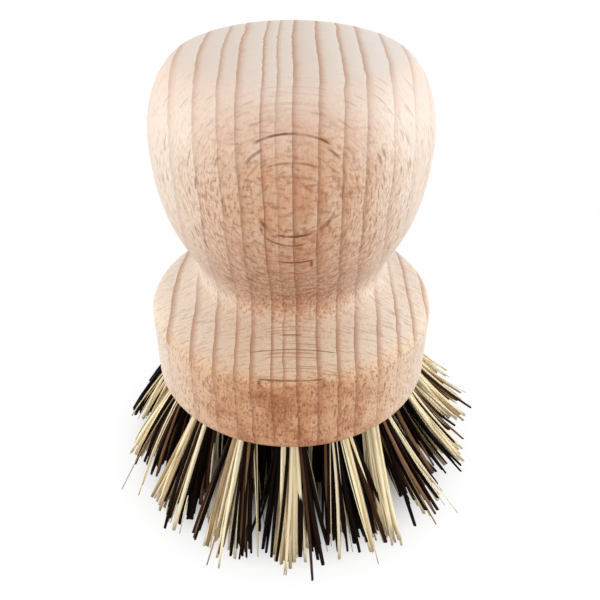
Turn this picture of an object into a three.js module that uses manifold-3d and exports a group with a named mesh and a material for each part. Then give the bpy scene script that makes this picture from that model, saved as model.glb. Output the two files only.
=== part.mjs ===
// Pot brush: a turned beech handle whose foot is drilled for tufts of stiff plant fibre.
// Each tuft is folded over a flat wire anchor, and the anchor's ends bite into the wall of the tuft's hole.
// Millimetres, +Z up. The origin is on the ground, on the handle's axis: the brush stands on its fibre tips.

import * as THREE from "three";
import { mergeVertices } from "three/addons/utils/BufferGeometryUtils.js";
import Module from "manifold-3d";

const wasm = await Module();
wasm.setup();

// The handle's profile, from the ground up
const standHeight = 24; // ground to the foot's lower edge
const faceDrop = 2.5; // bulge of the drilled face below that edge
const footRadius = 29; // at the lower edge
const footEdge = 1; // rounding of the lower edge
const sideRise = 14.8; // height of the foot's side
const sideTaper = 0.5; // what the side draws in by at its top
const waistRise = 9.5; // top of the side to the waist
const waistRadius = 18.35;
const knobRise = 23.9; // waist to the knob's widest
const knobRadius = 24.35;
const browRise = 15; // half height of the ellipse that rounds the knob's upper part
const browDepth = 9.2; // half width of that ellipse
const browEnd = 76; // where on the ellipse the crown begins, in degrees
const crownDome = 2.25; // rise of the crown from there to the top

// Lengths of the upright tangents that draw the handle's curves
const shoulderTangent = 3.1;
const waistTangentBelow = 3.6;
const waistTangentAbove = 5.7;
const knobTangent = 15.9;

// The drilled holes, in rings about the handle's axis
const holeRadius = 2.5;
const holeDepth = 10; // along the hole's axis, from its mouth
const outerRingInset = 6; // foot's edge to the outer ring
const innerRingRadius = 5.4;
const rings = [
  { name: "inner", count: 4, tilt: 5, startAngle: 45, fibre: "dark" },
  { name: "middle", count: 9, tilt: 17, startAngle: 10, fibre: "dark" },
  { name: "outer", count: 16, tilt: 31, startAngle: 0, fibre: "pale" },
];

// The wire anchors and what they leave of the hole
const anchorBite = 0.5; // into the wood at each end
const anchorThickness = 0.5;
const anchorWidth = 2; // along the hole
const anchorLength = 2 * (holeRadius + anchorBite);
const foldThickness = 1.4; // fibre between the anchor and the hole's bottom
const seatGap = 0.3; // between a piece and the seat that holds it

// The strands of a tuft: three-sided, in rows about the tuft's middle one
const strandRadius = 0.42; // from a strand's middle to its corners, at the root
const strandTipRadius = 0.55; // the same at its tip: a strand is a lock of fibres that spreads a little
const strandGap = 0.4; // between neighbours in a row, at least
const rowGap = 0.15; // between rows, at least
const rowTurn = 0.3; // turn of each row against the one inside it, in strands
const strandMargin = 0.05; // from the outer row to the root's edge
const fanAround = 9.5; // lean of the edge strands along the ring, in degrees
const fanAcross = 8; // lean of the edge strands across the ring, in degrees
const tipScatter = 3; // how unevenly the tips end
const tuftPatterns = 4; // tufts in a row before the unevenness repeats
const groundCut = 0.5; // what the ground takes off the longest tips
const sliceDepth = 1; // of the root's slice that the strands grow from

// Facets of round pieces
const handleFacets = 48;
const profileFacets = [4, 2, 7, 7, 9, 3]; // from the drilled face up to the crown
const holeFacets = 10;
const foldFacets = 4;
const cutterOverrun = 3; // how far a cutter reaches past the face it opens
const weldDistance = 1e-4; // between corners that count as one

const materials = {
  beech: new THREE.MeshStandardMaterial({ color: 0xdcb896, roughness: 0.62, metalness: 0 }),
  pale: new THREE.MeshStandardMaterial({ color: 0xe2d3a6, roughness: 0.6, metalness: 0 }),
  dark: new THREE.MeshStandardMaterial({ color: 0x241a15, roughness: 0.55, metalness: 0 }),
  wire: new THREE.MeshStandardMaterial({ color: 0xa9a59c, roughness: 0.35, metalness: 0.9 }),
};

// A closed geometry as a solid that can be cut and joined.
function toSolid(geometry) {
  const bare = geometry.clone();
  bare.deleteAttribute("normal");
  bare.deleteAttribute("uv");
  const merged = mergeVertices(bare, weldDistance);
  const corners = merged.index.array;
  const triangles = [];
  for (let i = 0; i < corners.length; i += 3) {
    const [a, b, c] = corners.subarray(i, i + 3);
    if (a !== b && b !== c && c !== a) triangles.push(a, b, c);
  }
  return new wasm.Manifold(
    new wasm.Mesh({
      numProp: 3,
      vertProperties: merged.attributes.position.array,
      triVerts: new Uint32Array(triangles),
    }),
  );
}

function toGeometry(solid) {
  const mesh = solid.getMesh();
  const geometry = new THREE.BufferGeometry();
  geometry.setAttribute("position", new THREE.BufferAttribute(mesh.vertProperties, 3));
  geometry.setIndex(new THREE.BufferAttribute(mesh.triVerts, 1));
  geometry.computeVertexNormals();
  return geometry;
}

// Height of the drilled face, a shallow paraboloid, at a distance from the axis.
function faceHeight(radius) {
  const share = radius / (footRadius - footEdge);
  return standHeight - faceDrop * (1 - share * share);
}

// Half of the handle's outline, from the middle of the drilled face to the middle of the crown.
function handleProfile() {
  const faceMiddle = standHeight - faceDrop;
  const faceRadius = footRadius - footEdge;
  const sideTop = standHeight + sideRise;
  const waist = sideTop + waistRise;
  const widest = waist + knobRise;
  const shoulderRadius = footRadius - sideTaper;
  const at = (radius, height) => new THREE.Vector2(radius, height);
  const face = new THREE.QuadraticBezierCurve(
    at(0, faceMiddle),
    at(faceRadius / 2, faceMiddle),
    at(faceRadius, standHeight),
  );
  const edge = new THREE.QuadraticBezierCurve(
    at(faceRadius, standHeight),
    at(footRadius, standHeight),
    at(footRadius, standHeight + footEdge),
  );
  const shoulder = new THREE.CubicBezierCurve(
    at(shoulderRadius, sideTop),
    at(shoulderRadius, sideTop + shoulderTangent),
    at(waistRadius, waist - waistTangentBelow),
    at(waistRadius, waist),
  );
  const grip = new THREE.CubicBezierCurve(
    at(waistRadius, waist),
    at(waistRadius, waist + waistTangentAbove),
    at(knobRadius, widest - knobTangent),
    at(knobRadius, widest),
  );
  const browAngle = THREE.MathUtils.degToRad(browEnd);
  const brow = new THREE.EllipseCurve(knobRadius - browDepth, widest, browDepth, browRise, 0, browAngle);
  const crownEdge = brow.getPoint(1);
  const crownSlope = brow.getTangent(1);
  const crownBend = crownEdge.x + (crownSlope.x * crownDome) / crownSlope.y;
  const top = new THREE.QuadraticBezierCurve(
    crownEdge,
    at(crownBend, crownEdge.y + crownDome),
    at(0, crownEdge.y + crownDome),
  );
  const runs = [face, edge, shoulder, grip, brow, top];
  return runs.flatMap((curve, index) => curve.getPoints(profileFacets[index]));
}

// The frame of each tuft: its origin is at the hole's mouth, +Z runs out along the hole, +Y along the ring.
function tuftPlaces() {
  const outerRingRadius = footRadius - outerRingInset;
  return rings.flatMap((ring, ringIndex) => {
    const ringShare = ringIndex / (rings.length - 1);
    const ringRadius = THREE.MathUtils.lerp(innerRingRadius, outerRingRadius, ringShare);
    return Array.from({ length: ring.count }, (_, index) => {
      const spoke = new THREE.Group();
      spoke.rotation.z = THREE.MathUtils.degToRad(ring.startAngle + (360 * index) / ring.count);
      const socket = new THREE.Group();
      const mouthHeight = faceHeight(ringRadius);
      const tilt = THREE.MathUtils.degToRad(ring.tilt);
      socket.position.set(ringRadius, 0, mouthHeight);
      socket.rotation.y = Math.PI - tilt;
      spoke.add(socket);
      spoke.updateMatrixWorld(true);
      const label = `${ring.name}_${String(index + 1).padStart(2, "0")}`;
      return { spoke, socket, mouthHeight, tilt, label, index, fibre: ring.fibre };
    });
  });
}

// A box about the anchor's place in a tuft's frame, larger than the anchor by a gap on every side.
function anchorBox(length, gap) {
  const box = new THREE.BoxGeometry(anchorThickness + 2 * gap, length + 2 * gap, anchorWidth + 2 * gap);
  const depth = holeDepth - seatGap - foldThickness - anchorWidth / 2;
  return box.translate(0, 0, -depth);
}

// An upright round bar in a tuft's frame, between two heights.
function roundBar(radius, from, to) {
  const halfFacet = Math.PI / holeFacets;
  const bar = new THREE.CylinderGeometry(radius, radius, to - from, holeFacets, 1, false, halfFacet);
  return bar.rotateX(Math.PI / 2).translate(0, 0, (from + to) / 2);
}

// The turned handle with a hole for each tuft and a pocket for each anchor.
function handleGeometry(places) {
  const turned = new THREE.LatheGeometry(handleProfile(), handleFacets).rotateX(Math.PI / 2);
  return toGeometry(
    places.reduce((wood, { socket }) => {
      const hole = roundBar(holeRadius, -holeDepth, cutterOverrun).applyMatrix4(socket.matrixWorld);
      const pocket = anchorBox(anchorLength, seatGap).applyMatrix4(socket.matrixWorld);
      return wood.subtract(toSolid(hole)).subtract(toSolid(pocket));
    }, toSolid(turned)),
  );
}

// The packed root of a tuft: a bar that fills the hole, rounded where the fibres fold over the anchor's slot.
function rootSolid(rootRadius) {
  const rootEnd = -(holeDepth - seatGap);
  const bar = toSolid(roundBar(rootRadius, rootEnd, -sliceDepth / 2));
  const foldShape = new THREE.Shape();
  foldShape.moveTo(rootRadius, 0);
  foldShape.lineTo(rootRadius, rootEnd + rootRadius);
  foldShape.absarc(0, rootEnd + rootRadius, rootRadius, 0, -Math.PI, true);
  foldShape.lineTo(-rootRadius, 0);
  const foldBlock = new THREE.ExtrudeGeometry(foldShape, {
    depth: 2 * rootRadius,
    bevelEnabled: false,
    curveSegments: foldFacets,
  });
  foldBlock.translate(0, 0, -rootRadius).rotateX(Math.PI / 2);
  const slot = anchorBox(2 * holeRadius, seatGap);
  return bar.intersect(toSolid(foldBlock)).subtract(toSolid(slot));
}

// The three corners of a strand's section about a centre, one of them pointing away from the tuft's middle.
function strandCorners(centre, angle, radius) {
  return [0, 1, 2].map((corner) => {
    const turn = angle + (corner * 2 * Math.PI) / 3;
    return new THREE.Vector2(centre.x + radius * Math.cos(turn), centre.y + radius * Math.sin(turn));
  });
}

// The middles of a tuft's strands on its root's face, as distances and angles about the tuft's axis.
function strandStarts(rootRadius) {
  const reach = rootRadius * Math.cos(Math.PI / holeFacets) - strandRadius - strandMargin;
  const strandDepth = 1.5 * strandRadius; // from a corner to the side across it
  const strandWidth = Math.sqrt(3) * strandRadius;
  const rowCount = Math.floor(reach / (strandDepth + rowGap));
  const starts = [{ offset: 0, angle: 0 }];
  for (let row = 1; row <= rowCount; row += 1) {
    const offset = (reach * row) / rowCount;
    const count = Math.floor(Math.PI / Math.asin((strandWidth + strandGap) / (2 * offset)));
    for (let index = 0; index < count; index += 1) {
      starts.push({ offset, angle: (2 * Math.PI * (index + row * rowTurn)) / count });
    }
  }
  return starts;
}

// Where each strand of a tuft starts, how it leans, and how far above the ground its tip stops.
function strandPlan(tuftIndex, rootRadius) {
  const golden = (Math.sqrt(5) - 1) / 2;
  const tuftShift = (tuftIndex % tuftPatterns) / tuftPatterns;
  const slopeAcross = Math.tan(THREE.MathUtils.degToRad(fanAcross)) / rootRadius;
  const slopeAround = Math.tan(THREE.MathUtils.degToRad(fanAround)) / rootRadius;
  return strandStarts(rootRadius).map(({ offset, angle }, order) => {
    const start = new THREE.Vector2(offset * Math.cos(angle), offset * Math.sin(angle));
    const lean = new THREE.Vector2(start.x * slopeAcross, start.y * slopeAround);
    const scatter = (order * golden + tuftShift) % 1;
    const tipHeight = Math.max(0, tipScatter * scatter - groundCut);
    return { start, angle, lean, tipHeight };
  });
}

// The strands of a tuft, grown from a slice of its root. Every tip is trimmed level with the ground.
function strandGeometry({ mouthHeight, tilt, index }, rootRadius) {
  const rim = Array.from({ length: holeFacets }, (_, i) => {
    const turn = (2 * Math.PI * (i + 0.5)) / holeFacets;
    return new THREE.Vector2(rootRadius * Math.sin(turn), -rootRadius * Math.cos(turn));
  });
  const strands = strandPlan(index, rootRadius);
  const roots = strands.map(({ start, angle }) => strandCorners(start, angle, strandRadius));
  const points = [];
  const triangles = [];

  // the slice: its face has an opening at each strand
  rim.forEach((p) => points.push(p.x, p.y, 0));
  roots.flat().forEach((p) => points.push(p.x, p.y, 0));
  const flat = [...rim, ...roots.flat()];
  THREE.ShapeUtils.triangulateShape(rim, roots).forEach(([a, b, c]) => {
    const facesOut = THREE.ShapeUtils.area([flat[a], flat[b], flat[c]]) > 0;
    triangles.push(...(facesOut ? [a, b, c] : [a, c, b]));
  });
  const under = points.length / 3;
  rim.forEach((p) => points.push(p.x, p.y, -sliceDepth));
  rim.forEach((_, i) => {
    const next = (i + 1) % holeFacets;
    triangles.push(under + i, under + next, next, under + i, next, i);
    if (i > 1) triangles.push(under, under + i, under + i - 1);
  });

  // the strands: each edge runs on until it is as high above the ground as the strand's tip
  strands.forEach(({ start, angle, lean, tipHeight }, strandIndex) => {
    const root = holeFacets + 3 * strandIndex;
    const tip = points.length / 3;
    strandCorners(start, angle, strandTipRadius).forEach((edge) => {
      const drop = Math.cos(tilt) + lean.x * Math.sin(tilt);
      const reach = (mouthHeight - tipHeight - edge.x * Math.sin(tilt)) / drop;
      points.push(edge.x + lean.x * reach, edge.y + lean.y * reach, reach);
    });
    [0, 1, 2].forEach((corner) => {
      const next = (corner + 1) % 3;
      triangles.push(root + corner, root + next, tip + next, root + corner, tip + next, tip + corner);
    });
    triangles.push(tip, tip + 1, tip + 2);
  });

  const geometry = new THREE.BufferGeometry();
  geometry.setAttribute("position", new THREE.Float32BufferAttribute(points, 3));
  geometry.setIndex(triangles);
  return geometry;
}

function tuftGeometry(place) {
  const rootRadius = holeRadius - seatGap;
  return toGeometry(toSolid(strandGeometry(place, rootRadius)).add(rootSolid(rootRadius)));
}

function namedMesh(name, geometry, material) {
  const mesh = new THREE.Mesh(geometry, material);
  mesh.name = name;
  return mesh;
}

const brush = new THREE.Group();
const places = tuftPlaces();
brush.add(namedMesh("handle", handleGeometry(places), materials.beech));
places.forEach((place) => {
  const { spoke, socket, label, fibre } = place;
  socket.add(namedMesh(`anchor_${label}`, anchorBox(anchorLength, 0), materials.wire));
  socket.add(namedMesh(`tuft_${label}`, tuftGeometry(place), materials[fibre]));
  brush.add(spoke);
});

export default brush;
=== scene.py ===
# Pot brush: a turned beech handle, drilled for tufts of pale and black-brown plant fibre
import functools
import math
import bpy
import numpy as np
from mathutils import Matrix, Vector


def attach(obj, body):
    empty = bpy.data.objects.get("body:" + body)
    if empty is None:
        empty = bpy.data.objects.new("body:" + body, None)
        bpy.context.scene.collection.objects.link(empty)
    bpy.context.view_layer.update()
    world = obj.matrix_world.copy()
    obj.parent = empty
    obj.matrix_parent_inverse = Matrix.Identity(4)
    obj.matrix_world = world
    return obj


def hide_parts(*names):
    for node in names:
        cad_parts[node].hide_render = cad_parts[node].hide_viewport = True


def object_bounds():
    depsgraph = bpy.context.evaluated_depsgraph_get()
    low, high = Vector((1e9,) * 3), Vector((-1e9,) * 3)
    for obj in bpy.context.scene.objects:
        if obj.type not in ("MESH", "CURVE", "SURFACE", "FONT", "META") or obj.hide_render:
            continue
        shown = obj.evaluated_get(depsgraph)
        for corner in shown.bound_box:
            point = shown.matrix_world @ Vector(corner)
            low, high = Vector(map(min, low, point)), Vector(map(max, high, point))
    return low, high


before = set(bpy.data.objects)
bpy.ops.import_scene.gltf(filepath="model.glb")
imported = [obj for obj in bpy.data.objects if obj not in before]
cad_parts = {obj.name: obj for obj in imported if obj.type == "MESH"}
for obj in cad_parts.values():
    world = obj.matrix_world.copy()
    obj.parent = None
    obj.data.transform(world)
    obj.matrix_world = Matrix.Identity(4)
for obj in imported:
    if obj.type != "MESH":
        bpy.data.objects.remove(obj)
cadLow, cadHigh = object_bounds()
mm = 0.001  # sizes below are in millimetres, meshes are in metres
print("frame: %d solids" % len(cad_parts))


# sRGB hex to the linear colour that sockets take
def hexColour(code):
    srgb = np.array([int(code[i:i + 2], 16) for i in (1, 3, 5)]) / 255
    linear = np.where(srgb <= 0.04045, srgb / 12.92, ((srgb + 0.055) / 1.055) ** 2.4)
    return (*linear.tolist(), 1.0)


# one node: inputs are values or sockets to link, stops a ramp's colours, corners a curve's points
def addNode(tree, kind, inputs, output=0, stops=(), corners=(), **settings):
    node = tree.nodes.new("ShaderNode" + kind)
    for key, value in settings.items():
        setattr(node, key, value)
    for key, value in inputs.items():
        if isinstance(value, bpy.types.NodeSocket):
            tree.links.new(value, node.inputs[key])
        else:
            node.inputs[key].default_value = value
    for place, _ in stops[1:-1]:
        node.color_ramp.elements.new(place)
    for index, (place, code) in enumerate(stops):
        node.color_ramp.elements[index].position = place
        node.color_ramp.elements[index].color = hexColour(code)
    for corner in corners[1:-1]:
        node.mapping.curves[0].points.new(*corner)
    if corners:
        for point in node.mapping.curves[0].points:
            point.handle_type = "VECTOR"
        node.mapping.update()
    return node.outputs[output] if node.outputs else None


# a material with an empty tree, and addNode bound to that tree
def newMaterial(name):
    material = bpy.data.materials.new(name)
    material.use_nodes = True
    material.node_tree.nodes.clear()
    return material, functools.partial(addNode, material.node_tree)


def newObject(name, points, faces):
    mesh = bpy.data.meshes.new(name)
    mesh.from_pydata(points, [], faces)
    piece = bpy.data.objects.new(name, mesh)
    bpy.context.scene.collection.objects.link(piece)
    return piece


# Camera: the photo's viewpoint, close to the brush and above it
shot = {
    "distance": 100.04,  # in front of the handle's axis
    "height": 111.31,  # above the ground
    "pitch": 39.6,  # degrees below the horizon
    "focal": 587.86,  # in pixels of the photo's frame
    "frame": 600,
    "axisColumn": 291.4,  # where the lens points, in the same pixels
    "axisRow": 331.8,
    "sensor": 36,
    "clipFrom": 5,
}


def makeCamera():
    camera = bpy.data.cameras.new("camera")
    camera.sensor_width = shot["sensor"]
    camera.lens = shot["focal"] * shot["sensor"] / shot["frame"]
    camera.shift_x = 0.5 - shot["axisColumn"] / shot["frame"]
    camera.shift_y = shot["axisRow"] / shot["frame"] - 0.5
    camera.clip_start = shot["clipFrom"] * mm
    eye = bpy.data.objects.new("camera", camera)
    eye.location = (0, -shot["distance"] * mm, shot["height"] * mm)
    eye.rotation_euler = (math.radians(90 - shot["pitch"]), 0, 0)
    bpy.context.scene.collection.objects.link(eye)
    bpy.context.scene.camera = eye


makeCamera()
print("camera placed")


# Beech, turned and sanded, left bare. Growth rings stand as upright sheets across X and draw brown
# lines down the handle, each sharp on its left and fading to the right. Rays are thin sheets across Y:
# arcs where the round front cuts them, short dashes on the flanks. Real pores are 0.1 mm wide, too
# fine to show here, so they are drawn wider.
# Several colour layers also paint light and shade on the wood, by which way its surface faces, as marked in
# the list.
beech = {
    # where growth rings meet, along X at this height, how strongly each ring shows, and how pinkish it is
    "ringEdges": (-29, -22.9, -18.1, -13.9, -10.2, -7.5, -3.9, -1.9, 0.35, 3.95, 7.45, 10.6, 14.7,
                  18.4, 21.6, 25.2, 29),
    "ringContrast": (0.4, 0.55, 0.6, 0.6, 0.55, 0.75, 0.95, 0.5, 1, 0.95, 0.9, 0.85, 0.6,
                     0.4, 0.35, 0.4, 1),
    "ringPink": (0.5, 0.5, 0.3, 0.6, 0.8, 0.5, 0.6, 0.4, 0.8, 0.4, 0.6, 0.3, 0.3, 0.5, 0.5, 0.5, 0.5),
    "ringHeight": 70,
    "ringLean": 0.014, "ringSpread": 0.0014,  # going down: across per height, and apart per height
    "ringTones": ((0.0, "#85502c"), (0.08, "#a2714c"), (0.15, "#c8a58a"), (0.3, "#dac3ae"),
                  (0.6, "#e3d2c3"), (1.0, "#eae0d6")),
    "ringTints": ("#fffcf3", "#f6e3d6"),  # from yellowish to pinkish
    "plain": "#e4d4c5",  # rings with little contrast go towards this
    # large rays: place along Y, half thickness, bend by X squared, from and to along X, from and to
    # in height, strength
    "rays": (
        (-22.35, 0.1, 0, -5.4, 5.6, 75, 90, 0.9), (-22.85, 0.11, 0, -6.6, -3.7, 75, 90, 0.8),
        (-22.62, 0.1, 0, 4.7, 7.0, 75, 90, 0.7), (-23.64, 0.05, 0.008, -3.6, 3.6, 75, 90, 0.6),
        (-24.06, 0.045, 0.0108, -4.9, -2.6, 65, 70.5, 1.0),
        (-24.06, 0.03, 0.0145, -2.5, 3.6, 65, 68.5, 1.0),
        (-24.06, 0.04, 0.0145, 3.9, 6.3, 65, 71, 0.75), (-23.85, 0.03, 0.009, -4.3, 2.3, 62, 67.2, 0.8),
        (-23.18, 0.05, 0.012, -2.6, 3.7, 58, 66, 1.0), (-22.85, 0.5, 0, 2.75, 3.5, 60.3, 62.3, 1.0),
        (-22.4, 0.04, 0.01, -3.0, 4.5, 56, 64, 0.5),
        (-23.3, 0.04, 0, -7.5, -3.0, 69, 82, 0.3), (-23.2, 0.04, 0, 2.5, 7.2, 68, 80, 0.25),
        (-23.05, 0.11, 0, -7.6, 8.0, 40, 47, 0.8), (-20.8, 0.13, 0, -2.4, 2.0, 40, 47, 0.85),
        (-27.63, 0.13, 0.0155, -6.1, 6.1, 38, 47, 0.9), (-27.5, 0.5, 0, -6.2, -5.0, 38.8, 40.6, 1.0),
        (-27.5, 0.5, 0, 5.1, 6.2, 38.8, 40.6, 1.0),
    ),
    "rayBow": 0.06,  # how far a ray strays along Y
    "raySoft": (0.6, 0.8, 0.5),  # soft edges: share of the half thickness, along X, and in height
    "rayBroken": (0.3, 0.5, 0.35, 1.0),  # limits of the breaking noise, and the strength it leaves
    # noises: spacing along X, Y and Z, and detail
    "noises": {
        "wander": ((30, 18, 45), 1.5), "ripple": ((2, 2, 4), 2), "bow": ((12, 60, 14), 2),
        "broken": ((2.2, 1.2, 2.2), 1), "drift": ((16, 12, 40), 2), "cloud": ((9, 14, 22), 2),
        "mottle": ((5, 3, 4), 3), "fleck": ((1.3, 0.16, 0.9), 2), "smudge": ((1.9, 0.9, 0.5), 3),
        "streak": ((0.3, 0.3, 1.4), 3), "hatch": ((3, 0.3, 3), 2), "comb": ((14, 0.3, 8), 0.5),
        "torn": ((0.42, 0.42, 0.8), 2), "crowd": ((14, 14, 18), 2), "sparse": ((6, 6, 8), 2),
    },
    "ringWander": 1.8, "ringRipple": 0.5,  # how far a ring's edge strays, slowly and quickly
    # zones of the turned shape: what is read there, and where it goes from none to full
    "zones": {
        "front": ("facing", 0.3, 1.0), "square": ("facing", 0.7, 1.0), "speckled": ("facing", 0.5, 0.85),
        "oblique": ("facing", 0.98, 0.85), "flank": ("facing", 0.97, 0.6), "pole": ("facing", 0.55, 0.25),
        "middle": ("aside", 5.5, 3.5), "right": ("across", 5, 15),
        "foot": ("height", 41.5, 40.8), "aboveFoot": ("height", 43, 47), "low": ("height", 49, 44),
        "onKnob": ("height", 50, 57), "belowGrip": ("height", 60, 52), "lowKnob": ("height", 82, 74),
        "upper": ("height", 74, 82),
        "under": ("lift", -0.06, -0.5), "side": ("lift", 0.6, 0.2), "slope": ("lift", 1.1, 0.1),
        "steep": ("lift", 1.2, 0.3), "top": ("lift", 0.1, 0.6), "brow": ("lift", 0.3, 0.9),
        "belowCrown": ("lift", 1.0, 0.78), "crown": ("lift", 0.78, 1.0),
    },
    # small rays and pores: spacing, limits of the core's distance, limits of the chance, what crowds them
    "cells": {
        "dash": ((4.6, 0.45, 4.0), (0.32, 0.16), (0.85, 1.07), "crowd"),
        "pore": ((1.1, 1.1, 2.2), (0.3, 0.15), (0.95, 1.15), "sparse"),
    },
    # colours laid over the rings in turn: way, colour, strength, pattern with its limits, zones it keeps
    # to; some paint light and shade, as marked
    "layers": (
        ("MIX", "#eee2d6", 0.3, ("drift", 0.0, 1.0), ()),
        ("MIX", "#d8b294", 0.2, ("cloud", 0.0, 1.0), ()),
        # painted light: sideways-facing steep flanks washed paler and greyer, as where the side lamps fall
        ("MIX", "#ddd1c6", 0.6, None, ("flank", "side")),
        ("MIX", "#ded0c4", 0.75, None, ("pole", "side")),
        # painted highlight: the knob's upper flanks and brow washed whitish grey
        ("MIX", "#dfd8d6", 0.45, None, ("flank", "brow", "belowCrown")),
        # painted light from above: the upper knob washed paler
        ("MIX", "#e8dcd2", 0.25, None, ("upper",)),
        # painted highlight from the right: upward faces on the right side washed paler
        ("MIX", "#efe6df", 0.4, None, ("right", "top")),
        # painted highlight: the shoulder's upward faces at the sides washed paler
        ("MIX", "#f4ece4", 0.5, None, ("low", "top", "pole")),
        # painted shade: the front darker and warmer, broken up by mottle
        ("MULTIPLY", "#f0c4a2", 0.82, ("mottle", 0.0, 0.6), ("front", "square")),
        # painted shade: the lower front, and most of all the foot's front, darker
        ("MULTIPLY", "#fbdab0", 0.3, None, ("front", "low")),
        ("MULTIPLY", "#f6e9d8", 0.9, None, ("front", "foot")),
        ("MULTIPLY", "#fffaea", 1.0, None, ("front", "low", "top")),
        ("MULTIPLY", "#fffcf4", 1.0, None, ("low", "top")),
        # painted shade: down-facing surfaces on the front, under the knob, darker
        ("MULTIPLY", "#c69576", 0.83, None, ("front", "under")),
        # partly end grain, partly painted sheen of the light from above: the brow and crown a darker, bluer
        # grey
        ("MULTIPLY", "#ebe3de", 1.0, None, ("brow", "belowCrown")),
        ("MULTIPLY", "#e2e8ee", 1.0, None, ("crown",)),
        ("MIX", "#9c6444", 0.68, ("ring", 0.32, 0.02), ("low", "top")),
        ("MIX", "#a97b57", 0.46, ("ring", 0.34, 0.02), ("upper", "brow")),
        ("MIX", "#a97b57", 0.3, ("ring", 0.2, 0.03), ("crown",)),
        ("MIX", "#a4603f", 0.55, ("smudge", 0.52, 0.68), ("square",)),
        ("MIX", "#8f5534", 0.58, ("fleck", 0.53, 0.66), ("speckled", "lowKnob", "onKnob")),
        ("MIX", "#f2dfcc", 0.4, ("fleck", 0.47, 0.34), ("speckled", "lowKnob", "onKnob", "oblique")),
        ("MIX", "#b08058", 0.3, ("hatch", 0.56, 0.68), ("slope",)),
        ("MIX", "#a06c45", 0.38, ("hatch", 0.55, 0.66), ("low", "top")),
        ("MIX", "#97593a", 0.5, ("comb", 0.55, 0.63), ("low", "middle", "top")),
        ("MIX", "#a8764f", 0.3, ("comb", 0.54, 0.63), ("upper", "middle", "brow", "belowCrown")),
        ("MIX", "#a8764f", 0.18, ("streak", 0.45, 0.7), ("steep",)),
        ("MIX", "#f6e8da", 0.15, ("streak", 0.5, 0.25), ("steep",)),
        ("MIX", "#9c6846", 0.25, ("torn", 0.54, 0.7), ("low",)),
        ("MIX", "#8a5533", 0.3, ("torn", 0.52, 0.68), ("front", "under")),
        ("MIX", "#ecd3bb", 0.2, ("torn", 0.46, 0.3), ("front", "under")),
        ("MIX", "#85502e", 0.7, ("torn", 0.52, 0.68), ("front", "foot")),
        ("MIX", "#8a5533", 0.55, ("torn", 0.52, 0.68), ("front", "aboveFoot", "belowGrip")),
        ("MIX", "#f0d9c4", 0.4, ("torn", 0.46, 0.3), ("front", "aboveFoot", "belowGrip")),
        ("MIX", "#dfb592", 0.3, ("torn", 0.46, 0.3), ("front", "foot")),
        ("MIX", "#8a4d2c", 0.5, ("mottle", 0.45, 0.65), ("square", "foot")),
        ("MIX", "#7d4a29", 0.52, ("dash", 0.0, 1.0), ("slope", "oblique")),
        ("MIX", "#7d4a29", 0.5, ("dash", 0.0, 1.0), ("under", "oblique")),
        ("MIX", "#85522f", 0.38, ("pore", 0.0, 1.0), ("side",)),
        ("MIX", "#774325", 1.0, ("ray", 0.0, 1.0), ()),
    ),
    "roughness": (0.62, 0.5),  # from the darkest marks to the palest wood
    "brightness": (0.1, 0.6),  # of the darkest marks and the palest wood
    "relief": 0.12, "reliefStrength": 0.5,  # how deep the dark marks lie
    "surface": {"IOR": 1.5, "Specular IOR Level": 0.3, "Sheen Weight": 0.05, "Sheen Roughness": 0.4},
}


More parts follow.
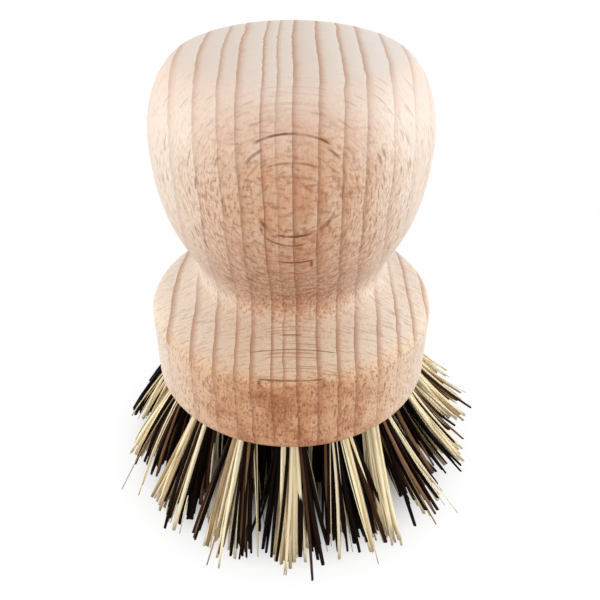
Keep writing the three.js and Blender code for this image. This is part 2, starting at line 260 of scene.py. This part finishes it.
def makeBeech():
    material, add = newMaterial("turned_beech_bare")
    where = add("TexCoord", {}).node.outputs
    inMm = add("VectorMath", {0: where["Object"], "Scale": 1 / mm}, operation="SCALE")
    x, y, z = add("SeparateXYZ", {0: inMm}).node.outputs
    _, toFront, lift = add("SeparateXYZ", {0: where["Normal"]}).node.outputs
    read = {"facing": add("Math", {0: toFront}, operation="ABSOLUTE"), "lift": lift, "height": z,
            "across": x, "aside": add("Math", {0: x}, operation="ABSOLUTE")}
    zones = {}
    for name, (value, low, high) in beech["zones"].items():
        zones[name] = add("MapRange", {0: read[value], 1: low, 2: high})
    marks = {}
    for name, (spacing, detail) in beech["noises"].items():
        squeezed = add("Mapping", {"Vector": inMm, "Scale": [1 / s for s in spacing]})
        marks[name] = add("TexNoise", {"Vector": squeezed, "Scale": 1.0, "Detail": detail})

    # growth rings: X spread, leant and bent by noise, counted in rings, and the share of its ring passed
    spread = beech["ringSpread"]
    apart = add("Math", {0: z, 1: spread, 2: 1 - spread * beech["ringHeight"]}, operation="MULTIPLY_ADD")
    across = add("Math", {0: x, 1: apart}, operation="MULTIPLY")
    across = add("Math", {0: z, 1: beech["ringLean"], 2: across}, operation="MULTIPLY_ADD")
    middles = beech["ringHeight"] * beech["ringLean"]
    for name, travel in (("wander", beech["ringWander"]), ("ripple", beech["ringRipple"])):
        across = add("Math", {0: marks[name], 1: travel, 2: across}, operation="MULTIPLY_ADD")
        middles += travel / 2
    edges = np.array(beech["ringEdges"], float)
    passed = add("MapRange", {0: across, 1: edges[0] + middles, 2: edges[-1] + middles})
    corners = np.stack([(edges - edges[0]) / np.ptp(edges), np.linspace(0, 1, len(edges))], 1)
    counted = add("FloatCurve", {"Value": passed}, corners=corners.tolist())
    ringCount = len(edges) - 1
    ringed = add("Math", {0: counted, 1: ringCount}, operation="MULTIPLY")
    marks["ring"] = add("Math", {0: ringed}, operation="FRACT")
    colour = add("ValToRGB", {0: marks["ring"]}, stops=beech["ringTones"])
    ring = add("Math", {0: ringed}, operation="FLOOR")
    ringShare = add("Math", {0: ring, 1: ringCount}, operation="DIVIDE")
    perRing = {}
    for key in ("ringContrast", "ringPink"):
        corners = np.stack([np.linspace(0, 1, ringCount + 1), beech[key]], 1)
        perRing[key] = add("FloatCurve", {"Value": ringShare}, corners=corners.tolist())
    plain = hexColour(beech["plain"])
    colour = add("Mix", {0: perRing["ringContrast"], 6: plain, 7: colour}, 2, data_type="RGBA")
    yellow, pink = (hexColour(code) for code in beech["ringTints"])
    tint = add("Mix", {0: perRing["ringPink"], 6: yellow, 7: pink}, 2, data_type="RGBA")
    colour = add("Mix", {0: 1.0, 6: colour, 7: tint}, 2, data_type="RGBA", blend_type="MULTIPLY")

    # large rays: nearness to the bent sheet, times the stretch and the heights where it shows
    bowed = add("Math", {0: marks["bow"], 1: beech["rayBow"], 2: y}, operation="MULTIPLY_ADD")
    squared = add("Math", {0: x, 1: x}, operation="MULTIPLY")
    marks["ray"] = 0.0
    softShare, softAcross, softUp = beech["raySoft"]
    for sheet, half, bend, left, right, low, high, strength in beech["rays"]:
        bent = add("Math", {0: squared, 1: -bend, 2: bowed}, operation="MULTIPLY_ADD")
        line = strength
        for value, middle, reach, soft in ((bent, sheet + beech["rayBow"] / 2, half, half * softShare),
                                           (x, (left + right) / 2, (right - left) / 2, softAcross),
                                           (z, (low + high) / 2, (high - low) / 2, softUp)):
            off = add("Math", {0: value, 1: middle}, operation="SUBTRACT")
            off = add("Math", {0: off}, operation="ABSOLUTE")
            within = add("MapRange", {0: off, 1: reach, 2: reach - min(soft, reach)})
            line = add("Math", {0: line, 1: within}, operation="MULTIPLY")
        marks["ray"] = add("Math", {0: marks["ray"], 1: line}, operation="MAXIMUM")
    low, high, faint, full = beech["rayBroken"]
    whole = add("MapRange", {0: marks["broken"], 1: low, 2: high, 3: faint, 4: full})
    marks["ray"] = add("Math", {0: marks["ray"], 1: whole}, operation="MULTIPLY")

    # small rays and pores: cores of stretched cells, some of them, more where the crowding noise is high
    for name, (spacing, core, picked, crowding) in beech["cells"].items():
        squeezed = add("Mapping", {"Vector": inMm, "Scale": [1 / s for s in spacing]})
        cell = add("TexVoronoi", {"Vector": squeezed, "Scale": 1.0}).node.outputs
        inside = add("MapRange", {0: cell["Distance"], 1: core[0], 2: core[1]})
        luck = add("SeparateColor", {0: cell["Color"]})
        luck = add("Math", {0: luck, 1: marks[crowding]}, operation="ADD")
        drawn = add("MapRange", {0: luck, 1: picked[0], 2: picked[1]})
        marks[name] = add("Math", {0: inside, 1: drawn}, operation="MULTIPLY")

    for way, code, strength, pattern, kept in beech["layers"]:
        amount = strength
        if pattern:
            name, low, high = pattern
            amount = add("MapRange", {0: marks[name], 1: low, 2: high, 3: 0.0, 4: strength})
        for zone in kept:
            amount = add("Math", {0: amount, 1: zones[zone]}, operation="MULTIPLY")
        colour = add("Mix", {0: amount, 6: colour, 7: hexColour(code)}, 2, data_type="RGBA", blend_type=way)

    # dark marks lie a little deeper and are rougher
    pale = add("RGBToBW", {0: colour})
    relief = add("Bump", {
        "Strength": beech["reliefStrength"], "Distance": beech["relief"] * mm, "Height": pale})
    darkest, palest = beech["brightness"]
    rough, smooth = beech["roughness"]
    grip = add("MapRange", {0: pale, 1: darkest, 2: palest, 3: rough, 4: smooth})
    shader = add("BsdfPrincipled", {
        "Base Color": colour, "Roughness": grip, "Normal": relief, **beech["surface"]})
    add("OutputMaterial", {0: shader})
    return material


# The handle's outline and its drilled holes, the same sizes as the solid
handle = {
    "standHeight": 24, "faceDrop": 2.5, "footRadius": 29, "footEdge": 1, "sideRise": 14.8, "sideTaper": 0.5,
    "waistRise": 9.5, "waistRadius": 18.35, "knobRise": 23.9, "knobRadius": 24.35,
    "browRise": 15, "browDepth": 9.2, "browEnd": 76, "crownDome": 2.25,
    "shoulderTangent": 3.1, "waistTangents": (3.6, 5.7), "knobTangent": 15.9,
    "around": 192,  # facets about the axis
    # points along each run of the outline
    "steps": {"face": 30, "edge": 7, "side": 18, "shoulder": 30, "grip": 36, "brow": 30, "crown": 26},
    "sharpAngle": 35,  # degrees
    "holeRadius": 2.5, "holeDepth": 10, "holeSides": 28, "drillOverrun": 3,
}


# a Bezier curve of any degree: control points weighted by the Bernstein polynomials
def bezier(controls, steps):
    t = np.linspace(0, 1, steps)[:, None]
    degree = len(controls) - 1
    weights = [math.comb(degree, k) * t**k * (1 - t) ** (degree - k) for k in range(degree + 1)]
    return sum(weight * np.array(point, float) for weight, point in zip(weights, controls))


# half of the outline as (radius, height), from the middle of the drilled face to the crown's middle
def handleOutline():
    h = handle
    steps = h["steps"]
    faceMiddle = h["standHeight"] - h["faceDrop"]
    faceRadius = h["footRadius"] - h["footEdge"]
    sideTop = h["standHeight"] + h["sideRise"]
    shoulderRadius = h["footRadius"] - h["sideTaper"]
    waist = sideTop + h["waistRise"]
    widest = waist + h["knobRise"]
    face = bezier([(0, faceMiddle), (faceRadius / 2, faceMiddle), (faceRadius, h["standHeight"])],
                  steps["face"])
    edge = bezier([(faceRadius, h["standHeight"]), (h["footRadius"], h["standHeight"]),
                   (h["footRadius"], h["standHeight"] + h["footEdge"])], steps["edge"])
    side = bezier([(h["footRadius"], h["standHeight"] + h["footEdge"]), (shoulderRadius, sideTop)],
                  steps["side"])
    shoulder = bezier([(shoulderRadius, sideTop), (shoulderRadius, sideTop + h["shoulderTangent"]),
                       (h["waistRadius"], waist - h["waistTangents"][0]), (h["waistRadius"], waist)],
                      steps["shoulder"])
    grip = bezier([(h["waistRadius"], waist), (h["waistRadius"], waist + h["waistTangents"][1]),
                   (h["knobRadius"], widest - h["knobTangent"]), (h["knobRadius"], widest)],
                  steps["grip"])
    turn = np.radians(np.linspace(0, h["browEnd"], steps["brow"]))
    browCentre = h["knobRadius"] - h["browDepth"]
    brow = np.stack([browCentre + h["browDepth"] * np.cos(turn), widest + h["browRise"] * np.sin(turn)], 1)
    slope = h["browRise"] * np.cos(turn[-1]) / (h["browDepth"] * np.sin(turn[-1]))
    crown = brow[-1, 1] + h["crownDome"]
    bend = brow[-1, 0] - h["crownDome"] / slope
    top = bezier([brow[-1], (bend, crown), (0, crown)], steps["crown"])
    runs = [face, edge[1:], side[1:], shoulder[1:], grip[1:], brow[1:], top[1:]]
    return np.concatenate(runs) * mm


# a profile turned about Z: (r cos a, r sin a, z) on a grid, with one point at each pole
def turnedMesh(name, outline, around):
    angle = np.linspace(0, 2 * np.pi, around, endpoint=False)
    rings = outline[1:-1]
    grid = np.stack(np.broadcast_arrays(
        rings[:, :1] * np.cos(angle), rings[:, :1] * np.sin(angle), rings[:, 1:]), -1)
    poles = np.array([[0, 0, outline[0, 1]], [0, 0, outline[-1, 1]]])
    points = np.concatenate([grid.reshape(-1, 3), poles])
    here = np.arange(around)
    nextOne = (here + 1) % around
    rows = np.arange(len(rings) - 1)[:, None] * around
    quads = np.stack([rows + here, rows + nextOne, rows + around + nextOne, rows + around + here], -1)
    last = (len(rings) - 1) * around
    count = len(points)
    foot = np.stack([np.full(around, count - 2), nextOne, here], -1)
    head = np.stack([np.full(around, count - 1), last + here, last + nextOne], -1)
    faces = quads.reshape(-1, 4).tolist() + foot.tolist() + head.tolist()
    return newObject(name, points.tolist(), faces)


# The rings of tufts, the same as the solid's
rings = {
    "inner": {"radius": 5.4, "count": 4, "tilt": 5, "start": 45},
    "middle": {"radius": 14.2, "count": 9, "tilt": 17, "start": 10},
    "outer": {"radius": 23.0, "count": 16, "tilt": 31, "start": 0},
}


# each tuft's hole: its mouth, and unit vectors outwards across the ring, along it, and out of the hole
def tuftPlaces():
    faceRadius = handle["footRadius"] - handle["footEdge"]
    places = []
    for ringName, ring in rings.items():
        mouthHeight = handle["standHeight"] - handle["faceDrop"] * (1 - (ring["radius"] / faceRadius) ** 2)
        tilt = math.radians(ring["tilt"])
        for index in range(ring["count"]):
            turn = math.radians(ring["start"] + 360 * index / ring["count"])
            outwards = np.array([math.cos(turn), math.sin(turn), 0])
            upright = np.array([0, 0, 1])
            places.append({
                "label": "%s_%02d" % (ringName, index + 1), "ring": ringName, "index": index,
                "mouth": outwards * ring["radius"] + upright * mouthHeight,
                "across": outwards * math.cos(tilt) + upright * math.sin(tilt),
                "along": np.array([-math.sin(turn), math.cos(turn), 0]),
                "out": outwards * math.sin(tilt) - upright * math.cos(tilt),
            })
    return places


places = tuftPlaces()


# closed bars, one down each hole: a circle in the mouth's plane carried along the hole's axis
def drillMesh():
    sides = handle["holeSides"]
    turn = np.linspace(0, 2 * np.pi, sides, endpoint=False)[None, :, None]
    mouth, across, along, out = (np.array([p[key] for p in places])[:, None] for key in
                                 ("mouth", "across", "along", "out"))
    circle = mouth + handle["holeRadius"] * (np.cos(turn) * along + np.sin(turn) * across)
    ends = np.stack([circle - out * handle["holeDepth"], circle + out * handle["drillOverrun"]], 1) * mm
    here = np.arange(sides)
    nextOne = (here + 1) % sides
    base = np.arange(len(places))[:, None] * 2 * sides
    quads = np.stack([base + here, base + sides + here, base + sides + nextOne, base + nextOne], -1)
    deep = base + here
    shallow = base + sides + here[::-1]
    faces = quads.reshape(-1, 4).tolist() + deep.tolist() + shallow.tolist()
    return newObject("drill", ends.reshape(-1, 3).tolist(), faces)


def makeHandle(material):
    blank = turnedMesh("handle_turned", handleOutline(), handle["around"])
    drill = drillMesh()
    cut = blank.modifiers.new("holes", "BOOLEAN")
    cut.object = drill
    cut.solver = "EXACT"
    bpy.context.view_layer.update()
    drilled = bpy.data.meshes.new_from_object(blank.evaluated_get(bpy.context.evaluated_depsgraph_get()))
    blank.modifiers.clear()
    blank.data = drilled
    bpy.data.objects.remove(drill)
    drilled.materials.clear()
    drilled.materials.append(material)
    drilled.polygons.foreach_set("use_smooth", np.ones(len(drilled.polygons), bool))
    drilled.set_sharp_from_angle(angle=math.radians(handle["sharpAngle"]))
    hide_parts("handle")
    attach(blank, "root")
    print("handle: %d faces" % len(drilled.polygons))


makeHandle(makeBeech())


# Pale agave fibre, combed and cut: cream to straw, a few tanned, ends browned by the cut
paleFibre = {
    "tones": ((0.0, "#8a6a48"), (0.2, "#c6ac80"), (0.5, "#ecd9ae"), (1.0, "#fdf1cf")),
    "tip": "#94734f",
    "roughness": 0.5, "gloss": 0.35,
}
# Black-brown palm fibre: near black and waxy, a few strands brown
darkFibre = {
    "tones": ((0.0, "#0a0503"), (0.5, "#1b0f09"), (0.75, "#4d3222"), (1.0, "#86644a")),
    "tip": "#1d1410",
    "roughness": 0.6, "gloss": 0.04,
}


# What both fibres share: streaks along a strand, and the browned end where it was cut
fibre = {
    "streaks": (6, 0.25, 1),  # round a strand, and along it for each millimetre
    "streakDetail": 3.0,
    "streakReach": 0.3,  # how far a streak shifts the tone
    "cutFrom": 0.93, "cutTint": 0.6,  # where the browned end starts, as a share, and how brown it gets
    "relief": 0.05, "reliefStrength": 0.3,  # how deep the streaks lie
}


# colour by strand, streaks along it, and a browned end
def makeFibre(name, looks):
    material, add = newMaterial(name)
    tone = add("Attribute", {}, "Fac", attribute_name="fibreTone")
    along = add("Attribute", {}, "Fac", attribute_name="fibreAlong")
    strand = add("UVMap", {}, uv_map="strand")
    stretched = add("Mapping", {"Vector": strand, "Scale": fibre["streaks"]})
    streak = add("TexNoise", {"Vector": stretched, "Scale": 1.0, "Detail": fibre["streakDetail"]})
    reach = fibre["streakReach"]
    jitter = add("Math", {0: streak, 1: reach, 2: -reach / 2}, operation="MULTIPLY_ADD")
    mixed = add("Math", {0: tone, 1: jitter}, operation="ADD", use_clamp=True)
    colour = add("ValToRGB", {0: mixed}, stops=looks["tones"])
    end = add("MapRange", {0: along, 1: fibre["cutFrom"], 2: 1.0, 3: 0.0, 4: fibre["cutTint"]})
    colour = add("Mix", {0: end, 6: colour, 7: hexColour(looks["tip"])}, 2, data_type="RGBA")
    relief = add("Bump", {
        "Strength": fibre["reliefStrength"], "Distance": fibre["relief"] * mm, "Height": streak})
    shader = add("BsdfPrincipled", {
        "Base Color": colour, "Roughness": looks["roughness"], "Specular IOR Level": looks["gloss"],
        "Normal": relief})
    add("OutputMaterial", {0: shader})
    return material


# One tuft: strands packed in the hole, fanning out to uneven ends near the ground
tuft = {
    "strands": {"inner": 60, "middle": 120, "outer": 96},
    "packRadius": 2.15, "rootScatter": 0.06,  # of the bundle in its hole
    "sunk": 4.0,  # how deep the strands start in the hole
    # lean of the edge strands, in degrees, along the ring and across it
    "fanAround": {"inner": 12, "middle": 17, "outer": 11}, "fanAcross": 6.5,
    "stray": 1.7,  # random lean, degrees
    "strayThin": 2.0, "strayPale": 0.6, "strayAcross": 0.7,  # times that: thin, pale, across the ring
    "bow": 1.3,  # how far a strand bends aside at its tip
    "bowAcross": (0.2, 0.5), "bowLimits": (-0.6, 0.8),  # mean and spread of the bend across, and its limits
    "bowAlong": 0.6,  # spread of the bend along the ring
    "set": 3.2,  # how far use has pushed the ends of the side tufts to the right
    "lockFan": 0.2, "lockDepth": 0.4,  # how much a pale lock fans around and across, against the rest
    "lockPlace": (-0.7, 0.7), "lockBreadth": (0.1, 0.22),  # the one lock of a tuft that isn't listed below
    "swapShare": 0.06,  # strands of the other colour, in a lock and around it
    "paleTip": (0.1, 2.4), "darkTip": (1.5, 3.7),  # ends above the ground
    # outer tufts worn shorter, by so much
    "worn": {0: 5.0, 1: 3.0, 8: 1.6, 9: 1.6, 13: 0.6, 14: 1.0, 15: 2.5},
    "splayed": {0: 3, 8: 3, 9: 3, 15: 1},  # outer tufts leaning further out, degrees
    "gathered": {8: 0.4},  # outer tufts fanning less than the rest
    "paleHalf": (0.32, 0.56), "darkHalf": (0.36, 0.58), "thinHalf": (0.14, 0.2),  # half widths
    "flatness": 0.62,  # thickness over width
    "taper": ((0, 0.85, 1), (1, 1, 0.8)),  # places along a strand, and its width there
    "paleTone": (2.6, 1.4), "darkTone": (1.0, 2.2), "darkTop": 0.8,  # shapes of the chance of a tone
    "thinShare": 0.16, "brownShare": 0.09,
    "brownTone": (0.05, 0.95),  # of a browned strand, pale and dark
    "steps": 7, "sides": 5,
    "mapStep": 7.3,  # streaks shift by this from strand to strand
    "seed": 41,
    # where a pale lock sits in an outer tuft, half its breadth, and where its ends go if that is
    # elsewhere, all as shares of the tuft's breadth
    "paleLocks": {
        8: ((0.6, 0.4),), 9: ((-0.75, 0.35, -1.0), (-0.15, 0.28, -0.45)), 10: ((-0.5, 0.5),),
        11: ((-0.35, 0.3), (0.25, 0.12)), 12: ((-0.1, 0.62),), 13: ((0.2, 0.36),),
        14: ((-0.75, 0.42, -1.9), (-0.05, 0.1), (0.5, 0.18)), 15: ((0.15, 0.6),),
        0: ((-0.7, 0.38), (0.45, 0.6)), 1: ((-0.45, 0.45), (0.45, 0.5)),
    },
}


# strands as an ellipse carried along centrelines: centre + cos a * half width * side
# + sin a * half depth * up, and nothing below the ground
def strandMesh(name, centre, half, side, up):
    count, steps, _ = centre.shape
    sides = tuft["sides"]
    turn = np.linspace(0, 2 * np.pi, sides, endpoint=False)
    wide = half[:, :, None, None] * np.cos(turn)[:, None] * side[:, None, None, :]
    deep = half[:, :, None, None] * tuft["flatness"] * np.sin(turn)[:, None] * up[:, None, None, :]
    points = centre[:, :, None, :] + wide + deep
    points[..., 2] = np.maximum(points[..., 2], 0)
    here = np.arange(sides)
    nextOne = (here + 1) % sides
    base = (np.arange(count)[:, None] * steps + np.arange(steps - 1)) * sides
    base = base[:, :, None]
    quads = np.stack([base + here, base + nextOne, base + sides + nextOne, base + sides + here], -1)
    first = np.arange(count)[:, None] * steps * sides
    roots = first + here[::-1]
    tips = first + (steps - 1) * sides + here
    faces = quads.reshape(-1, 4).tolist() + roots.tolist() + tips.tolist()
    return newObject(name, (points * mm).reshape(-1, 3).tolist(), faces)


# strands start on a sunflower spiral in the hole, lean by where they start, and end at their own height
def makeTuft(place, materials):
    ring = place["ring"]
    count = tuft["strands"][ring]
    draw = np.random.default_rng([tuft["seed"], list(rings).index(ring), place["index"]])
    order = np.arange(count)
    golden = math.pi * (3 - math.sqrt(5))
    reach = tuft["packRadius"] * np.sqrt((order + 0.5) / count)
    startAcross = reach * np.sin(order * golden) + draw.normal(0, tuft["rootScatter"], count)
    startAlong = reach * np.cos(order * golden) + draw.normal(0, tuft["rootScatter"], count)

    # pale locks, thin strays and tones
    spot = startAlong / tuft["packRadius"]
    locks = tuft["paleLocks"].get(place["index"]) if ring == "outer" else None
    if locks is None:
        locks = ((draw.uniform(*tuft["lockPlace"]), draw.uniform(*tuft["lockBreadth"])),)
    spread = spot.copy()
    pale = np.zeros(count, bool)
    for centre, breadth, *goal in locks:
        member = np.abs(spot - centre) < breadth
        ends = (goal or [centre])[0] + (spot - centre) * tuft["lockFan"]
        spread = np.where(member, ends, spread)
        pale = pale | member
    thin = draw.random(count) < tuft["thinShare"]
    pale = np.where(draw.random(count) < tuft["swapShare"], ~pale, pale) | thin
    paleTone = draw.beta(*tuft["paleTone"], count)
    darkTone = draw.beta(*tuft["darkTone"], count) * tuft["darkTop"]
    tone = np.where(pale, paleTone, darkTone)
    tone = np.where(draw.random(count) < tuft["brownShare"], np.where(pale, *tuft["brownTone"]), tone)
    paleHalf = draw.uniform(*tuft["paleHalf"], count)
    darkHalf = draw.uniform(*tuft["darkHalf"], count)
    half = np.where(pale, paleHalf, darkHalf)
    half = np.where(thin, draw.uniform(*tuft["thinHalf"], count), half)

    # leans, as sideways travel per length
    strayTimes = np.where(thin, tuft["strayThin"], np.where(pale, tuft["strayPale"], 1.0))
    strayLean = np.radians(tuft["stray"]) * strayTimes
    leanAcross = np.tan(np.radians(tuft["fanAcross"])) * startAcross / tuft["packRadius"]
    leanAcross = np.where(pale & ~thin, leanAcross * tuft["lockDepth"], leanAcross)
    leanAlong = np.tan(np.radians(tuft["fanAround"][ring])) * spread
    if ring == "outer":
        leanAcross = leanAcross + np.tan(np.radians(tuft["splayed"].get(place["index"], 0)))
        leanAlong = leanAlong * tuft["gathered"].get(place["index"], 1)
    leanAcross = leanAcross + draw.normal(0, 1, count) * strayLean * tuft["strayAcross"]
    leanAlong = leanAlong + draw.normal(0, 1, count) * strayLean
    bowAcross = np.clip(draw.normal(*tuft["bowAcross"], count), *tuft["bowLimits"]) * tuft["bow"]
    bowAlong = draw.normal(0, tuft["bowAlong"], count) * tuft["bow"]

    # length from the mouth to the strand's own end height
    paleTip = draw.uniform(*tuft["paleTip"], count)
    darkTip = draw.uniform(*tuft["darkTip"], count)
    tipHeight = np.where(pale, paleTip, darkTip)
    if ring == "outer":
        tipHeight = tipHeight + tuft["worn"].get(place["index"], 0)
    rise = place["across"][2]
    drop = -place["out"][2]
    length = place["mouth"][2] + (startAcross + bowAcross) * rise - tipHeight
    length = length / (drop - leanAcross * rise)

    share = np.linspace(0, 1, tuft["steps"])
    travel = share * (length[:, None] + tuft["sunk"]) - tuft["sunk"]
    free = np.maximum(travel, 0)
    sway = (free / length[:, None]) ** 2
    goAcross = startAcross[:, None] + leanAcross[:, None] * free + bowAcross[:, None] * sway
    goAlong = startAlong[:, None] + leanAlong[:, None] * free + bowAlong[:, None] * sway
    centre = (place["mouth"] + goAcross[..., None] * place["across"] + goAlong[..., None] * place["along"]
              + travel[..., None] * place["out"])
    centre[..., 0] += tuft["set"] * place["along"][1] ** 2 * sway
    taper = np.interp(share, *tuft["taper"])
    spin = draw.uniform(0, np.pi, count)[:, None]
    side = np.cos(spin) * place["along"] + np.sin(spin) * place["across"]
    up = np.cross(place["out"], side)
    piece = strandMesh("fibres_" + place["label"], centre, half[:, None] * taper, side, up)

    mesh = piece.data
    sides, steps = tuft["sides"], tuft["steps"]
    for key, values in (("fibreTone", np.repeat(tone, steps * sides)),
                        ("fibreAlong", np.tile(np.repeat(share, sides), count))):
        mesh.attributes.new(key, "FLOAT", "POINT").data.foreach_set("value", values.astype(np.float32))
    # a strand's own map: round it, and along it in millimetres, shifted from strand to strand
    aroundStrand = np.tile(np.arange(sides) / sides, count * steps)
    downStrand = np.repeat(travel.ravel() + np.repeat(order * tuft["mapStep"], steps), sides)
    corner = np.zeros(len(mesh.loops), np.int32)
    mesh.loops.foreach_get("vertex_index", corner)
    strandMap = mesh.uv_layers.new(name="strand")
    spots = np.stack([aroundStrand, downStrand], 1)[corner]
    strandMap.uv.foreach_set("vector", spots.astype(np.float32).ravel())
    for material in materials:
        mesh.materials.append(material)
    darkOne = (~pale).astype(np.int32)
    mesh.polygons.foreach_set("material_index", np.concatenate(
        [np.repeat(darkOne, (steps - 1) * sides), darkOne, darkOne]))
    mesh.polygons.foreach_set("use_smooth", np.ones(len(mesh.polygons), bool))
    mesh.update()
    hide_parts("tuft_" + place["label"])
    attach(piece, "root")
    return count


fibreMaterials = [makeFibre("agave_fibre_pale", paleFibre), makeFibre("palm_fibre_black_brown", darkFibre)]
strandCount = sum(makeTuft(place, fibreMaterials) for place in places)
print("tufts: %d with %d strands" % (len(places), strandCount))


# Drawn steel wire, rolled flat: grey metal, cloudy from the rollers. Its real marks are under 0.1 mm,
# too fine to show, so they are drawn wider.
wire = {
    "markWidth": 0.4, "markDetail": 3.0,
    "tones": ((0.3, "#8f8b84"), (0.7, "#b9b5ad")),  # by the strength of the marks
    "roughness": (0.28, 0.45),  # over the same strengths
}


def makeWire():
    material, add = newMaterial("drawn_flat_wire")
    spot = add("TexCoord", {}, "Object")
    marks = add("TexNoise", {
        "Vector": spot, "Scale": 1 / (wire["markWidth"] * mm), "Detail": wire["markDetail"]})
    (faint, _), (strong, _) = wire["tones"]
    smooth, rough = wire["roughness"]
    shine = add("MapRange", {0: marks, 1: faint, 2: strong, 3: smooth, 4: rough})
    tint = add("ValToRGB", {0: marks}, stops=wire["tones"])
    shader = add("BsdfPrincipled", {"Base Color": tint, "Metallic": 1.0, "Roughness": shine})
    add("OutputMaterial", {0: shader})
    return material


wireMaterial = makeWire()
for place in places:
    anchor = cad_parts["anchor_" + place["label"]]
    anchor.data.materials.clear()
    anchor.data.materials.append(wireMaterial)
print("anchors: %d" % len(places))


# Floor and light: a white studio with soft lamps at both sides, above and in front
studio = {
    "floorHalf": 2000,
    "floorTone": "#dedbd6",
    "floorGlow": (22, 46),  # distances from the axis between which the floor looks white to the camera
    "fill": 0.38,  # light from all round
    "lamps": (  # name, place, size, watts
        ("left", (-260, -25, 140), 260, 0.54),
        ("right", (260, -25, 140), 260, 0.59),
        ("top", (0, 30, 330), 260, 0.34),
        ("front", (-60, -420, 280), 400, 0.64),
    ),
}


# 1 for what the camera sees itself, in a mirror or through glass
def seenDirectly(add):
    rays = add("LightPath", {}).node.outputs
    seen = add("Math", {0: rays["Is Camera Ray"], 1: rays["Is Glossy Ray"]}, operation="MAXIMUM")
    return add("Math", {0: seen, 1: rays["Is Transmission Ray"]}, operation="MAXIMUM")


def makeFloor():
    half = studio["floorHalf"] * mm
    floor = newObject("floor", [(-half, -half, 0), (half, -half, 0), (half, half, 0), (-half, half, 0)],
                      [(0, 1, 2, 3)])
    material, add = newMaterial("floor_white")
    matt = add("BsdfDiffuse", {"Color": hexColour(studio["floorTone"])})
    white = add("Emission", {"Color": (1, 1, 1, 1), "Strength": 1.0})
    spot = add("TexCoord", {}, "Object")
    away = add("VectorMath", {0: spot}, "Value", operation="LENGTH")
    near, far = (reach * mm for reach in studio["floorGlow"])
    glow = add("MapRange", {0: away, 1: near, 2: far}, interpolation_type="SMOOTHSTEP")
    lift = add("Math", {0: seenDirectly(add), 1: glow}, operation="MULTIPLY")
    mixed = add("MixShader", {0: lift, 1: matt, 2: white})
    # clear from underneath
    below = add("NewGeometry", {}, "Backfacing")
    clear = add("BsdfTransparent", {})
    oneSided = add("MixShader", {0: below, 1: mixed, 2: clear})
    add("OutputMaterial", {0: oneSided})
    floor.data.materials.append(material)


def makeLight():
    for name, where, size, watts in studio["lamps"]:
        lamp = bpy.data.lights.new(name, "AREA")
        lamp.size = size * mm
        lamp.energy = watts
        holder = bpy.data.objects.new("lamp_" + name, lamp)
        holder.location = [c * mm for c in where]
        middle = (cadLow + cadHigh) / 2
        holder.rotation_euler = (middle - holder.location).to_track_quat("-Z", "Y").to_euler()
        bpy.context.scene.collection.objects.link(holder)
    world = bpy.data.worlds.new("studio")
    world.use_nodes = True
    world.node_tree.nodes.clear()
    add = functools.partial(addNode, world.node_tree)
    level = add("MapRange", {0: seenDirectly(add), 3: studio["fill"], 4: 1.0})
    sky = add("Background", {"Color": (1, 1, 1, 1), "Strength": level})
    add("OutputWorld", {0: sky})
    bpy.context.scene.world = world


makeFloor()
makeLight()
bpy.context.scene.view_settings.view_transform = "Standard"
print("studio lit")
